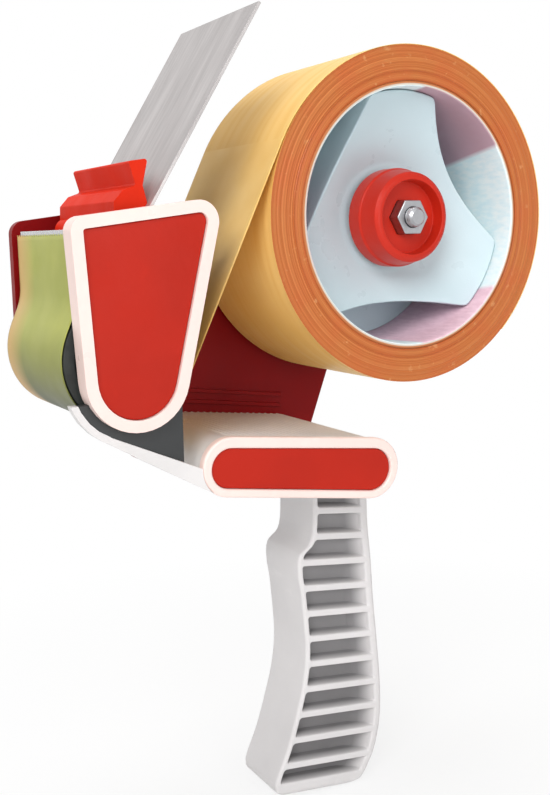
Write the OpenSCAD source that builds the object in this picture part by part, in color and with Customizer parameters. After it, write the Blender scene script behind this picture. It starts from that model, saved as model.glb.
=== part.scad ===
// Hand-held packing tape dispenser with a pistol grip. A grey chassis carries a red side frame with the
// tape hub, and a front unit with the roller, the cutter and the wiper flap.
// Millimetres. The front is -X, the loading side is -Y and up is +Z. The origin is the middle of the grip.

/* [Tape roll] */
// Outside diameter of the wound tape
roll_d = 100; // [88:1:108]
// Bore of the paper core
core_bore_d = 76.4; // [70:0.1:80]
// Wall of the paper core
core_wall = 1.5; // [1:0.1:3]
// Width of the tape
tape_w = 50; // [44:1:60]
// Thickness of the free tape
tape_t = 0.3; // [0.2:0.05:0.5]

/* [Layout] */
// Distance of the roll's axis behind the middle of the grip
roll_x = 19; // [14:0.5:24]
// Height of the roll's axis above the middle of the grip
roll_z = 135; // [132:0.5:145]
// Distance from the roll's axis forward to the roller's axis
roller_reach = 93.7; // [90:0.1:104]
// Drop of the roller's axis below the roll's axis
roller_drop = 36.3; // [32:0.1:40]
// Space between the tape's near edge and the near arm
near_gap = 1; // [0.6:0.1:2]
// Space between the tape's far edge and the side frame
far_gap = 2; // [1:0.1:3]

/* [Beam] */
// Distance of the beam's front centre ahead of the grip's middle
beam_front_x = 48.4; // [44:0.1:54]
// Height of the beam's front centre
beam_front_z = 67.2; // [64:0.1:69]
// Radius of the beam's front end
beam_front_r = 8.1; // [7:0.1:9]
// Distance of the beam's rear centre ahead of the grip's middle
beam_rear_x = 0.9; // [0:0.1:4]
// Height of the beam's rear centre
beam_rear_z = 60.8; // [58:0.1:64]
// Radius of the beam's rear end
beam_rear_r = 8.8; // [8:0.1:10]
// Wall of the hollow beam
beam_wall = 2.5; // [2:0.1:3]
// Thickness of the bezel on the beam's near face
bezel_t = 3; // [2:0.1:4]
// Width of the bezel's border
bezel_border = 2.4; // [2:0.1:4]
// Amount by which the bezel stands up above the beam
bezel_lip = 0.8; // [0:0.1:1.5]
// Depth that the beam's insert lies below the bezel
insert_depth = 0.8; // [0.2:0.1:1.4]

/* [Cheeks] */
// Front corner ahead of the roller's axis
cheek_front = 12.4; // [11.5:0.1:15]
// Front corner above the roller's axis
cheek_front_h = 33.4; // [31:0.1:37]
// Radius of the front corner
cheek_front_r = 4; // [3.6:0.1:6]
// Rear corner behind the roller's axis
cheek_rear = 18.7; // [16:0.1:22]
// Rear corner above the roller's axis
cheek_rear_h = 35.7; // [34:0.1:40]
// Radius of the rear corner
cheek_rear_r = 5.5; // [4:0.1:8]
// Centre of the bottom round below the roller's axis
cheek_drop = 3.9; // [2:0.1:6]
// Radius of the bottom round
cheek_bottom_r = 14.4; // [13:0.1:16]
// Thickness of the near cheek's face
cheek_face_t = 3; // [2.6:0.1:4]
// Width of the near cheek's border
cheek_border = 3.2; // [2:0.1:3.4]
// Depth of the recess for the cheek's insert
cheek_recess = 1.8; // [1.2:0.1:2]
// Thickness of the cheek's insert
cheek_insert_t = 1; // [0.6:0.1:1.2]
// Thickness of the near cheek's rim
cheek_rim = 2; // [1.4:0.1:3]
// Thickness of the near arm
arm_t = 3; // [2.6:0.1:4]
// Space from the cheek's bottom round out to the arm's lower edge
arm_margin = 4.4; // [3:0.1:6]
// Width of the rail along the arm's lower edge, under the cheek
rail_w = 1.8; // [1.4:0.1:3]
// Width of the rail where it meets the beam
rail_root = 5.6; // [4:0.1:6.5]
// Height above the cheek's bottom round at which the arm's horn ends
arm_horn = 8; // [5:0.1:11]
// Space between the near arm and the beam's front
arm_end = 5; // [3:0.1:8]
// Distance that the far cheek's front corner lies behind the near one's
far_set = 2; // [0:0.1:4]

/* [Side frame] */
// Thickness of the side frame
frame_t = 3.5; // [3.2:0.1:5]
// Radius of the frame round the roll's axis
frame_hub_r = 19; // [18:0.5:26]
// Distance that the frame reaches behind the beam
frame_tail = 2.9; // [2:0.1:8]
// Radius of the frame's tail
frame_tail_r = 9; // [8:0.1:10]
// Radius of the boss behind the hub
boss_r = 14; // [12:0.5:16]
// Height of the boss on the frame's inner face
boss_h = 7; // [5:0.1:9]
// Height of the ridges on the frame's inner face
ridge_h = 1; // [0.6:0.1:1.6]
// Distance from the beam to the first ridge, and from ridge to ridge
ridge_pitch = 3.6; // [3:0.1:4.5]

/* [Grip] */
// Width of the grip
grip_w = 21.5; // [20:0.5:26]
// Front of the neck ahead of the middle
neck_front = 10; // [9:0.1:12]
// Back of the neck behind the middle
neck_back = 11.2; // [9.5:0.1:12]
// Extra depth of the finger stop under the neck
finger_stop = 5.4; // [3:0.1:6]
// Height of the finger stop
finger_stop_z = 27; // [25:0.5:30]
// Front of the waist ahead of the middle
waist_front = 13.1; // [12:0.1:14.5]
// Back of the palm swell behind the middle
palm_back = 16.4; // [15:0.1:18]
// Front of the heel ahead of the middle
heel_front = 24.9; // [22:0.1:27]
// Depth of the heel below the middle
heel_drop = 48.5; // [46:0.5:54]
// Amount by which the heel is lower at its back than at its front
heel_tilt = 2.6; // [0:0.1:5]
// Thickness of the smooth front plate
spine_d = 1.6; // [1.2:0.1:4]
// Thickness of the back plate
palm_t = 3; // [2:0.1:4]
// Depth of the pockets between the ribs
pocket_d = 4.8; // [3:0.1:5.5]
// Thickness of a rib
rib_t = 2; // [1.5:0.1:3]
// Distance from rib to rib
rib_pitch = 8.4; // [7:0.1:10]
// Height of the top of the first pocket
pocket_top = 46; // [45:0.5:48]
// Distance from the top of the first pocket to the first rib
first_pocket = 9.2; // [8:0.1:11]

/* [Front roller] */
// Outside diameter of the rubber sleeve
roller_d = 35.4; // [33:0.1:36]
// Thickness of the rubber sleeve
sleeve_t = 3.5; // [2:0.1:5]
// Diameter of the roller's axle
axle_d = 8; // [6:0.1:9]
// Wall of the bushes
bush_wall = 2; // [1.5:0.1:3]
// Length of a bush
bush_l = 12; // [8:0.5:16]
// Amount by which the roller is shorter than the tape is wide
roller_short = 1; // [0.6:0.1:2]

/* [Cutter] */
// Thickness of the blade
blade_t = 0.8; // [0.5:0.1:1.2]
// Height of the blade below the tape's end
blade_h = 11; // [9:0.1:12]
// Height of the tooth points above the tape's end
tooth_rise = 1; // [0.6:0.1:1.6]
// Depth of the teeth
tooth_h = 1.6; // [1:0.1:2.4]
// Distance from tooth to tooth
tooth_pitch = 2; // [1.5:0.1:3]
// Distance of the tape's end below the cheek's top edge
cut_depth = 4.2; // [3.5:0.1:5.5]
// Distance of the tape's end ahead of the middle of the cheek's front corner
cut_ahead = 0.8; // [0:0.1:2]
// Lean of the tape's end back from upright, degrees
cut_lean = 0; // [-2:0.5:8]
// Depth of the bar behind the blade
bar_d = 4.4; // [4:0.1:6]
// Thickness of the bar's deck
deck_t = 4; // [3:0.1:5]

/* [Wiper] */
// Lean of the wiper plate back from upright, degrees
wiper_lean = 32; // [28:0.5:35]
// Length of the wiper plate above its pin
wiper_l = 72.2; // [62:0.1:76]
// Thickness of the wiper plate
wiper_t = 0.8; // [0.5:0.1:1.2]
// Distance of the plate's front face behind the pin's axis
wiper_offset = 2.8; // [2.7:0.1:3.6]
// Diameter of the wiper's pin
pin_d = 3; // [2.4:0.1:3.2]
// Distance of the pin behind the roller's axis
pin_x = 0.8; // [0:0.1:3]
// Distance of the pin below the cheek's top edge
pin_depth = 4.9; // [4.6:0.1:6]
// Space at each end of the carrier, which holds the spring
carrier_end = 5; // [4.8:0.1:6]
// Reach of the carrier's foot ahead of its pin
foot_reach = 5.3; // [4.6:0.1:6]
// Height of the foot's front edge
foot_low = 5; // [4.4:0.1:5.6]
// Height of the foot's top
foot_h = 8.8; // [8.2:0.1:9.4]
// Depth of the notch between foot and lip, measured from the pin
notch_reach = 2.2; // [1.6:0.1:2.8]
// Height of the notch
notch_h = 11.8; // [11.2:0.1:12.4]
// Reach of the carrier's lip ahead of its pin
lip_reach = 7; // [6:0.1:8]
// Height of the lip's front edge
lip_h = 16.1; // [15:0.1:17.4]
// Reach of the lip's top edge ahead of its pin
lip_back = 2.8; // [2.2:0.1:3.4]
// Height of the lip's top edge
lip_top = 19.6; // [18.4:0.1:21]
// Height at which the carrier lets go of the plate
carrier_grip = 9.6; // [9:0.1:10.4]

/* [Hub] */
// Width of a hub arm at its tip
hub_arm_w = 24; // [18:0.5:30]
// Radius of the hub between its arms
hub_waist = 26; // [20:0.5:27]
// Radius of the flat middle of the hub
hub_flat_r = 17; // [16.5:0.1:19]
// Distance of the hub's flat middle from the roll's mid plane
hub_face = 9.4; // [8.5:0.1:11]
// Amount by which the arm tips stand proud of the flat middle
hub_dish = 10.1; // [8:0.1:12]
// Thickness of the hub's sheet
hub_t = 2.2; // [1.8:0.1:3]
// Reach of the hub's skirt behind the roll's mid plane
hub_flange = 12; // [6:0.5:16]
// Outside radius of the hub's sleeve
hub_sleeve_r = 10.5; // [9.8:0.1:12]

/* [Tension] */
// Diameter of the bolt
bolt_d = 6; // [5:0.1:6.5]
// Width across the flats of the bolt head and nut
hex_af = 10; // [9.4:0.1:11]
// Height of the bolt head
head_h = 4; // [3:0.1:4.5]
// Thickness of the nut
nut_h = 5; // [4:0.1:6]
// Radius of the knob's collar
knob_r = 15; // [14:0.1:16]
// Radius of the knob's front edge
knob_front_r = 13; // [12.6:0.1:14]
// Height of the knob
knob_h = 13; // [12.5:0.1:15]
// Depth of the cup in the knob's back
knob_cup = 6.8; // [6.4:0.1:7.2]
// Depth of the recess in the knob's front
knob_recess = 4; // [3:0.1:4.2]
// Radius of the recess in the knob's front
knob_recess_r = 11.2; // [10:0.1:11.4]
// Travel of the knob along the bolt each way
knob_travel = 1; // [0.5:0.1:1.2]
// Radius of the tension spring at the middle of its wire
spring_r = 6.6; // [6:0.1:6.8]
// Radius of the tension spring's wire
spring_wire = 0.6; // [0.4:0.05:0.8]
// Number of curls in the tension spring
spring_turns = 6; // [4:1:7]
// Thickness of the thrust washer
washer_t = 1.1; // [0.8:0.1:1.5]

/* [Fits] */
// Radial clearance of a running fit
run_fit = 0.05; // [0.02:0.01:0.1]
// Clearance between pieces that move past each other
clear = 0.3; // [0.25:0.05:0.5]
// Clearance of a piece seated in a pocket
seat = 0.1; // [0.05:0.01:0.2]

/* [Hidden] */
$fn = 64;
arc_steps = 18;
past = 1;

red = [0.78, 0.18, 0.12];
white = [0.94, 0.91, 0.89];
grey = [0.76, 0.76, 0.77];
steel = [0.62, 0.63, 0.65];
nylon = [0.88, 0.88, 0.84];
black = [0.14, 0.14, 0.15];
paper = [0.87, 0.84, 0.78];
ice = [0.82, 0.88, 0.9];
amber = [0.82, 0.6, 0.28];

// Screws, each as shank radius, head radius, countersink depth and length
frame_screw = [1.9, 3.6, 1.8, 13];
wiper_screw_size = [1.4, 2.6, 1.5, 3];
bar_screw_size = [1.5, 2.8, 1.4, 11];
blade_screw_size = [1.3, 2.3, 1.1, 5];
flush = 0.2;

// Planes across the width, from the loading side to the far side
near_in = -tape_w / 2 - near_gap;
near_out = near_in - arm_t;
cheek_out = near_out - cheek_face_t;
beam_near = near_in - arm_t * 2 / 3;
bezel_out = beam_near - bezel_t;
far_in = tape_w / 2 + far_gap;
far_out = far_in + frame_t;
boss_in = far_in - boss_h;

// Axes of the front unit
roller_x = roll_x - roller_reach;
roller_z = roll_z - roller_drop;
roller_r = roller_d / 2;
roller_half = (tape_w - roller_short) / 2;
axle_r = axle_d / 2;
roll_r = roll_d / 2;
core_r = core_bore_d / 2;

// Outlines as circles that a belt runs round, each as X, Z and radius
beam = [[-beam_front_x, beam_front_z, beam_front_r], [-beam_rear_x, beam_rear_z, beam_rear_r]];
bezel = [for (c = beam) c + [0, bezel_lip / 2, bezel_lip / 2]];
cheek = [[-cheek_front, cheek_front_h, cheek_front_r], [0, -cheek_drop, cheek_bottom_r],
  [cheek_rear, cheek_rear_h, cheek_rear_r]];
far_cheek = [[far_set - cheek_front, cheek_front_h, cheek_front_r], cheek[1], cheek[2]];
cradle = [[roller_x, roller_z - cheek_drop, cheek_bottom_r + arm_margin], beam[0]];
arm_plate = [[roller_x, roller_z - cheek_drop, cheek_bottom_r + arm_margin - rail_w],
  [-beam_front_x, beam_front_z, beam_front_r - rail_root]];
frame_neck_r = 12;
frame_neck = [5.7, 6.3];
frame_web = [[roller_x + frame_neck[0], roller_z + frame_neck[1], frame_neck_r], beam[0],
  [frame_tail - beam_rear_x, beam_rear_z + frame_tail_r - beam_rear_r, frame_tail_r],
  [roll_x, roll_z, frame_hub_r]];
arm_inset = cheek_rim + seat;
horn_z = roller_z - cheek_drop - cheek_bottom_r + arm_horn;

// Height of the cheek's top edge, measured from the roller's axis
cheek_slope = (cheek_rear_h + cheek_rear_r - cheek_front_h - cheek_front_r) / (cheek_rear + cheek_front);
function cheek_top(x) = cheek_front_h + cheek_front_r + (x + cheek_front) * cheek_slope;
pin_z = cheek_top(pin_x) - pin_depth;
pin_r = pin_d / 2;

// The free tape's path round the roller, measured from the roller's axis
wrap_r = roller_r + clear;
web_span = [roller_reach, roller_drop];
web_angle = atan2(roller_drop, roller_reach) - acos((roll_r + clear + tape_t + wrap_r) / norm(web_span));
web_normal = [cos(web_angle), sin(web_angle)];
cut_end = [-cheek_front - cut_ahead, cheek_top(-cheek_front) - cut_depth];
cut_normal = [-cos(cut_lean), sin(cut_lean)];
function cut_point(x, z) = cut_end - x * cut_normal + z * [cut_normal[1], -cut_normal[0]];
leave_angle = 172;
wrap_steps = 28;
bend_steps = 8;
bend_end = cut_point(0, -blade_h - 4);

// Blade and bar, measured back from the tape's inner face
blade_back = clear + blade_t;
blade_w = tape_w - 1;
blade_screw_z = blade_h * 0.55;
bar_screw = cut_point(blade_back + bar_d / 2, -blade_h / 2);

// Torsion spring on the wiper's pin
coil_wire = 0.4;
coil_r = pin_r + seat + coil_wire;
coil_turns = 2;
coil_pitch = 1.4;
coil_leg = 8;
deck_top = pin_z - coil_r - coil_wire - seat * 2;
deck_rear = pin_x - deck_t * 1.375;

// Carrier of the wiper, in the frame of the plate, with the pin's axis as origin
knuckle_r = pin_r + 2.3;
carrier_near = near_in + carrier_end - 1;
carrier_far = far_in - carrier_end;
foot_corner = 0.7;
strip_t = 1.2;
strip_h = 8;
wiper_screw_z = pin_r + wiper_screw_size[0] + 2.7;
wiper_screw_y = tape_w * 0.3;

// Hub, measured towards the loading side from the roll's mid plane
hub_fit = 0.3;
hub_r = core_r - hub_fit;
hub_tip = hub_face + hub_dish;
hub_back = -boss_in + 1 + 2 * clear - seat;
bolt_r = bolt_d / 2;
hub_bush_r = bolt_r + 2;
pocket_r = 8.2;
pocket_floor = 1;
disc_t = 1;
hex_r = hex_af / 2 / cos(30);

// Knob stack, measured the same way
knob_base = hub_face + knob_travel + 2 * clear;
knob_front = knob_base + knob_h;
knob_cavity = knob_base + knob_cup;
nut_seat = knob_front - knob_recess - 1;
washer_in = knob_cavity - clear - washer_t;
bolt_end = nut_seat + nut_h + 2.6;
spring_from = pocket_floor + clear + spring_wire;
spring_to = washer_in - clear - spring_wire;

blade_screw_y = -near_out - bar_screw_size[3] - 2 * blade_screw_size[0];
frame_screw_boss = 4.4;
frame_screw_at = [for (share = [0, 0.5, 1]) [-beam_front_x, beam_front_z]
  + share * [beam_front_x - beam_rear_x, beam_rear_z - beam_front_z]];

// Angle of the beam and the line of its underside
beam_tilt = atan2(beam_front_z - beam_rear_z, beam_front_x - beam_rear_x);

// Grip outlines as height and depth, from the beam down to the heel
grip_half = grip_w / 2;
grip_top = max(beam_front_z, beam_rear_z);
heel_h = 4;
heel_lean = heel_front - waist_front;
grip_front_line = smooth_line([[grip_top, -neck_front], [finger_stop_z * 1.41, -neck_front],
  [finger_stop_z * 1.15, -neck_front - finger_stop * 0.9], [finger_stop_z * 0.93, -neck_front - finger_stop],
  [finger_stop_z * 0.63, -waist_front * 1.09], [0, -waist_front],
  [-heel_drop * 0.23, -waist_front - heel_lean * 0.1], [-heel_drop * 0.43, -waist_front - heel_lean * 0.32],
  [-heel_drop * 0.66, -waist_front - heel_lean * 0.63], [-heel_drop * 0.87, -heel_front],
  [-heel_drop * 0.96, -heel_front * 0.976], [-heel_drop, -heel_front * 0.82]]);
grip_back_line = smooth_line([[grip_top, neck_back], [heel_drop * 0.82, neck_back * 1.03],
  [heel_drop * 0.54, neck_back * 1.14], [heel_drop * 0.25, palm_back * 0.835],
  [-heel_drop * 0.04, palm_back * 0.915], [-heel_drop * 0.33, palm_back * 0.988],
  [-heel_drop * 0.54, palm_back], [-heel_drop * 0.7, palm_back * 0.951],
  [-heel_drop * 0.845, palm_back * 0.835], [-heel_drop * 0.928, palm_back * 0.713],
  [-heel_drop - heel_tilt * 0.4, palm_back * 0.52], [-heel_drop - heel_tilt, palm_back * 0.24]]);
rib_top = pocket_top - first_pocket + rib_t / 2;
rib_count = 1 + floor((rib_top + heel_drop - heel_h - rib_t) / rib_pitch);
rib_inset = 0.3;
handle_screw = [1.6, 3, 2, 9.5];
handle_screw_at = [-beam_rear_x - beam_rear_r / 8, handle_screw[1] + seat * 2];

// A point on the smooth curve from p1 to p2
function curve_point(p0, p1, p2, p3, t) = 0.5 * (2 * p1 + (p2 - p0) * t
  + (2 * p0 - 5 * p1 + 4 * p2 - p3) * t * t + (3 * p1 - p0 - 3 * p2 + p3) * t * t * t);

// A smooth curve through all points of a list
function smooth_line(points, steps = 6) = let (last = len(points) - 1) [
  for (i = [0 : last - 1]) for (k = [0 : steps - 1])
    curve_point(points[max(i - 1, 0)], points[i], points[i + 1], points[min(i + 2, last)], k / steps),
  points[last]];

function reversed(points) = [for (i = [len(points) - 1 : -1 : 0]) points[i]];

// Side outline between two height and depth lines, as X and Z
function between(front, back, front_shift, back_shift) = concat(
  [for (p = front) [p[1] + front_shift, p[0]]],
  [for (p = reversed(back)) [p[1] + back_shift, p[0]]]);

// Direction of the outer tangent from circle a to circle b
function tangent_angle(a, b) = atan2(b[1] - a[1], b[0] - a[0])
  - acos((a[2] - b[2]) / norm([b[0] - a[0], b[1] - a[1]]));

// Outline of a belt round circles listed counter-clockwise, drawn in by inset
function belt(circles, inset = 0) = let (n = len(circles)) [
  for (i = [0 : n - 1])
    let (c = circles[i])
    let (start = tangent_angle(circles[(i + n - 1) % n], c))
    let (sweep = (tangent_angle(c, circles[(i + 1) % n]) - start + 720) % 360)
    for (k = [0 : arc_steps])
      let (a = start + sweep * k / arc_steps)
      [c[0], c[1]] + (c[2] - inset) * [cos(a), sin(a)]];

// Outline with every corner rounded
function rounded(points, r) = let (n = len(points)) [
  for (i = [0 : n - 1])
    let (p = points[i], a = points[(i + n - 1) % n] - p, b = points[(i + 1) % n] - p)
    let (u = a / norm(a), v = b / norm(b), half = acos(u * v) / 2)
    let (c = p + (u + v) / norm(u + v) * r / sin(half))
    let (from = p + u * r / tan(half) - c, to = p + v * r / tan(half) - c)
    let (start = atan2(from[1], from[0]))
    let (sweep = (atan2(to[1], to[0]) - start + 540) % 360 - 180)
    for (k = [0 : 4])
      c + r * [cos(start + sweep * k / 4), sin(start + sweep * k / 4)]];

// Extrudes a side outline, drawn as X and Z, across the width
module across(from, to) {
  translate([0, to, 0])
    rotate([90, 0, 0])
      linear_extrude(to - from)
        children();
}

// Extrudes an outline, drawn as Y and Z, along X
module along_x(from, to) {
  translate([from, 0, 0])
    rotate([90, 0, 90])
      linear_extrude(to - from)
        children();
}

// Round bar across the width
module rod(r, from, to) {
  translate([0, to, 0])
    rotate([90, 0, 0])
      cylinder(r = r, h = to - from);
}

// Turned shape on an axis across the width, its height pointing to the loading side
module turned(points) {
  rotate([90, 0, 0])
    rotate_extrude()
      polygon(points);
}

module at_roll() {
  translate([roll_x, 0, roll_z])
    children();
}

module at_roller() {
  translate([roller_x, 0, roller_z])
    children();
}

module at_pin() {
  translate([roller_x + pin_x, 0, roller_z + pin_z])
    children();
}

// Frame of the wiper: its height runs up the plate
module at_wiper() {
  at_pin()
    rotate([0, wiper_lean, 0])
      children();
}

// Frame of the cutter: its height runs up the tape, its X points back from the tape's inner face
module at_cutter() {
  at_roller()
    translate([cut_end[0], 0, cut_end[1]])
      rotate([0, cut_lean, 0])
        children();
}

module at_bar_screw() {
  at_roller()
    translate([bar_screw[0], 0, bar_screw[1]])
      children();
}

// Countersunk screw with its head's face at height 0; with extra, its hole, which is open at the head's end
module csk_screw(size, extra = 0) {
  mouth = extra > 0 ? flush + past : 0;
  rotate_extrude()
    polygon([[0, mouth], [size[1] + extra, mouth], [size[1] + extra, 0], [size[0] + extra, -size[2]],
      [size[0] + extra, -size[3] - extra], [0, -size[3] - extra]]);
}

// Puts a screw into the far face or into the near arm
module from_far(y) {
  translate([0, y, 0])
    rotate([-90, 0, 0])
      children();
}

module from_near(y) {
  translate([0, y, 0])
    rotate([90, 0, 0])
      children();
}

// Tube round a path. Each ring is given as its centre and its outward direction from the coil's axis
module wire(centres, outward, r) {
  sides = 6;
  last = len(centres) - 1;
  points = [for (i = [0 : last]) for (s = [0 : sides - 1])
    centres[i] + r * (cos(360 * s / sides) * outward[i] + sin(360 * s / sides) * [0, 1, 0])];
  walls = [for (i = [0 : last - 1]) for (s = [0 : sides - 1])
    let (a = i * sides + s, b = i * sides + (s + 1) % sides)
    each [[a, a + sides, b + sides], [a, b + sides, b]]];
  caps = [for (s = [1 : sides - 2])
    each [[0, s, s + 1], [last * sides, last * sides + s + 1, last * sides + s]]];
  polyhedron(points, concat(walls, caps));
}

// Least space between the curls of a coil, measured on the points of its path
function least_gap(centres, r, skip) = min([for (i = [0 : len(centres) - 1])
  for (j = [i + skip : 1 : len(centres) - 1]) norm(centres[i] - centres[j])]) - 2 * r;

// Chassis: hollow beam open on its far side, and the rail that runs forward under the front unit
module below_horn(circles, inset) {
  low = -heel_drop;
  intersection() {
    polygon(belt(circles, inset));
    translate([roller_x - roller_reach, low])
      square([2 * roller_reach, horn_z - low]);
  }
}

// Outline of the rail: the lower edge of the cradle, from the tape's front to the beam
module rail_outline() {
  intersection() {
    difference() {
      below_horn(cradle, 0);
      polygon(belt(arm_plate));
    }
    polygon([[roller_x - roller_reach, horn_z], [roller_x, horn_z], [-beam_front_x, beam_front_z],
      [-beam_front_x, -heel_drop], [roller_x - roller_reach, -heel_drop]]);
  }
}

// Plan of the rail: as thick as the near arm in front, out to the near cheek's face at the beam
module rail_plan() {
  translate([0, 0, -heel_drop])
    linear_extrude(heel_drop + roller_z)
      polygon([[roller_x - roller_reach, near_out], [roller_x, near_out], [-beam_front_x, cheek_out + seat],
        [0, cheek_out + seat], [0, near_in + past], [roller_x - roller_reach, near_in + past]]);
}

module chassis() {
  color(grey)
    difference() {
      union() {
        difference() {
          across(beam_near, far_in)
            polygon(belt(beam));
          across(beam_near + beam_wall, far_in + past)
            polygon(belt(beam, beam_wall));
        }
        for (p = frame_screw_at)
          translate([p[0], 0, p[1]])
            rod(frame_screw_boss, beam_near + beam_wall / 2, far_in);
        intersection() {
          across(cheek_out + seat, near_in)
            rail_outline();
          rail_plan();
        }
      }
      across(cheek_out - past, beam_near)
        polygon(belt(bezel, -seat));
      for (p = frame_screw_at)
        translate([p[0], 0, p[1]])
          from_far(far_out - flush)
            csk_screw(frame_screw, seat);
      handle_screw_places()
        csk_screw(handle_screw, seat);
    }
}

// Near arm: plate that stands in the rail, behind the near cheek
module near_arm() {
  color(black)
    difference() {
      across(near_out, near_in)
        difference() {
          union() {
            translate([roller_x, roller_z])
              polygon(belt(cheek, arm_inset));
            below_horn(arm_plate, seat);
          }
          translate([-beam_front_x - beam_front_r - arm_end, -heel_drop])
            square([roller_reach, heel_drop + horn_z]);
        }
      at_roller()
        rod(axle_r + run_fit, near_out - past, near_in + past);
      at_pin()
        rod(pin_r + run_fit, near_out - past, near_in + past);
      at_bar_screw()
        from_near(near_out + flush)
          csk_screw(bar_screw_size, seat);
      cheek_pegs(seat, near_out - past);
    }
}

// Two pegs on the near cheek that press into the arm, made larger by extra
module cheek_pegs(extra, from) {
  for (p = [[0, 20], [-4, -12]])
    at_roller()
      translate([p[0], 0, p[1]])
        rod(2 + extra, from, near_in);
}

// Side frame: far cheek, web to the beam and boss for the hub's bolt, flat on its outer face
module side_frame() {
  color(red)
    difference() {
      union() {
        across(far_in, far_out) {
          translate([roller_x, roller_z])
            polygon(belt(far_cheek));
          polygon(belt(frame_web));
        }
        at_roll()
          rod(boss_r, boss_in, far_in + past);
        at_roller()
          rod(axle_r + 4, roller_half + clear, far_in + past);
        for (k = [1, 2])
          translate([-beam_front_x, far_in - ridge_h, beam_front_z])
            rotate([0, beam_tilt, 0])
              translate([0, 0, max(beam_front_r, beam_rear_r) + k * ridge_pitch - ridge_h])
                cube([beam_front_x - beam_rear_x, ridge_h + past, ridge_h * 1.2]);
      }
      at_roll() {
        rod(bolt_r + seat, boss_in - past, far_out + past);
        from_near(far_out - head_h - flush)
          mirror([0, 0, 1])
            cylinder(r = hex_r + seat, h = head_h + past, $fn = 6);
      }
      at_roller()
        rod(axle_r + run_fit, boss_in, far_out - 1);
      at_pin()
        rod(pin_r + run_fit, boss_in, far_out - 1);
      for (p = frame_screw_at)
        translate([p[0], 0, p[1]])
          from_far(far_out - flush)
            csk_screw(frame_screw, seat);
      at_bar_screw()
        from_far(far_out - flush)
          csk_screw(bar_screw_size, seat);
    }
}

// Height of the beam's middle line
function beam_middle(x) = beam_rear_z - (x + beam_rear_x) * tan(beam_tilt);

module handle_screw_places() {
  for (side = [-1, 1])
    translate([handle_screw_at[0], side * handle_screw_at[1], beam_middle(handle_screw_at[0])])
      rotate([0, beam_tilt, 0])
        translate([0, 0, beam_wall - beam_rear_r])
          children();
}

// The grip's side outline, cut to a height
module grip_slab(from, to) {
  intersection() {
    polygon(between(grip_front_line, grip_back_line, spine_d / 2, -palm_t / 2));
    translate([-2 * heel_front, from])
      square([4 * heel_front, to - from]);
  }
}

// Grip: smooth front plate and back plate, slim core between them and ribs, cut to the beam's underside
module handle() {
  under = tangent_angle(beam[0], beam[1]);
  color(grey)
    difference() {
      union() {
        across(-grip_half, grip_half) {
          polygon(between(grip_front_line, grip_front_line, 0, spine_d));
          polygon(between(grip_back_line, grip_back_line, -palm_t, 0));
          grip_slab(pocket_top, grip_top);
          grip_slab(-heel_drop - heel_tilt, heel_h - heel_drop);
        }
        across(pocket_d - grip_half, grip_half - pocket_d)
          grip_slab(-heel_drop - heel_tilt, grip_top);
        across(rib_inset - grip_half, grip_half - rib_inset)
          for (i = [0 : rib_count - 1])
            grip_slab(rib_top - rib_t - i * rib_pitch, rib_top - i * rib_pitch);
      }
      across(-grip_half - past, grip_half + past)
        translate([-beam_front_x, beam_front_z])
          rotate(under + 90)
            translate([-grip_w, -beam_front_r])
              square([beam_front_x * 3, grip_w * 2]);
      handle_screw_places()
        csk_screw(handle_screw, seat);
    }
}

module handle_screws() {
  color(steel)
    handle_screw_places()
      csk_screw(handle_screw);
}

module frame_screws() {
  color(steel) {
    for (p = frame_screw_at)
      translate([p[0], 0, p[1]])
        from_far(far_out - flush)
          csk_screw(frame_screw);
  }
}

// Pale bezel on the beam's near face and the red insert inside it
module beam_bezel() {
  color(white)
    across(bezel_out, beam_near)
      difference() {
        polygon(belt(bezel));
        polygon(belt(beam, bezel_border));
      }
}

module beam_insert() {
  color(red)
    across(bezel_out + insert_depth, beam_near)
      polygon(belt(beam, bezel_border + seat));
}

// Near cheek: pale cover with a rim round the arm, and its red insert
module near_cheek() {
  color(white)
    at_roller()
      union() {
        difference() {
          across(cheek_out, near_in)
            polygon(belt(cheek));
          across(cheek_out - past, cheek_out + cheek_recess)
            polygon(belt(cheek, cheek_border));
          across(near_out, near_in + past)
            polygon(belt(cheek, cheek_rim));
          translate([-roller_x, 0, -roller_z])
            across(near_out, near_in + past)
              polygon(cradle_cut());
        }
        translate([-roller_x, 0, -roller_z])
          cheek_pegs(0, near_out - past / 2);
      }
}

// The part of the arm's cradle that the cheek's rim leaves open
function cradle_cut() = [[roller_x - roller_reach, horn_z + seat], [roller_x - roller_reach, 0],
  [roller_x + roller_reach, 0], [roller_x + roller_reach, horn_z + seat]];

module cheek_insert() {
  color(red)
    at_roller()
      across(cheek_out + cheek_recess - cheek_insert_t, cheek_out + cheek_recess)
        polygon(belt(cheek, cheek_border + seat));
}

// Cutter: bar between the cheeks, toothed blade on its front, and their screws
module blade_bar() {
  front_top = cut_point(blade_back, -tooth_h - past);
  color(red)
    difference() {
      at_roller()
        across(near_in, far_in)
          polygon([cut_point(blade_back, -blade_h - past), cut_point(blade_back + bar_d, -blade_h - past),
            cut_point(blade_back + bar_d, -blade_h / 2 - deck_t / 2), [deck_rear, deck_top - deck_t],
            [deck_rear, deck_top], [front_top[0] + past, deck_top], front_top]);
      blade_screw_places()
        csk_screw(blade_screw_size, seat);
      at_bar_screw() {
        from_near(near_out + flush)
          csk_screw(bar_screw_size, seat);
        from_far(far_out - flush)
          csk_screw(bar_screw_size, seat);
      }
    }
}

module bar_screws() {
  color(steel)
    at_bar_screw() {
      from_near(near_out + flush)
        csk_screw(bar_screw_size);
      from_far(far_out - flush)
        csk_screw(bar_screw_size);
    }
}

module blade_screw_places() {
  for (side = [-1, 1])
    at_cutter()
      translate([clear + flush / 2, side * blade_screw_y, -blade_screw_z])
        rotate([0, -90, 0])
          children();
}

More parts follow.
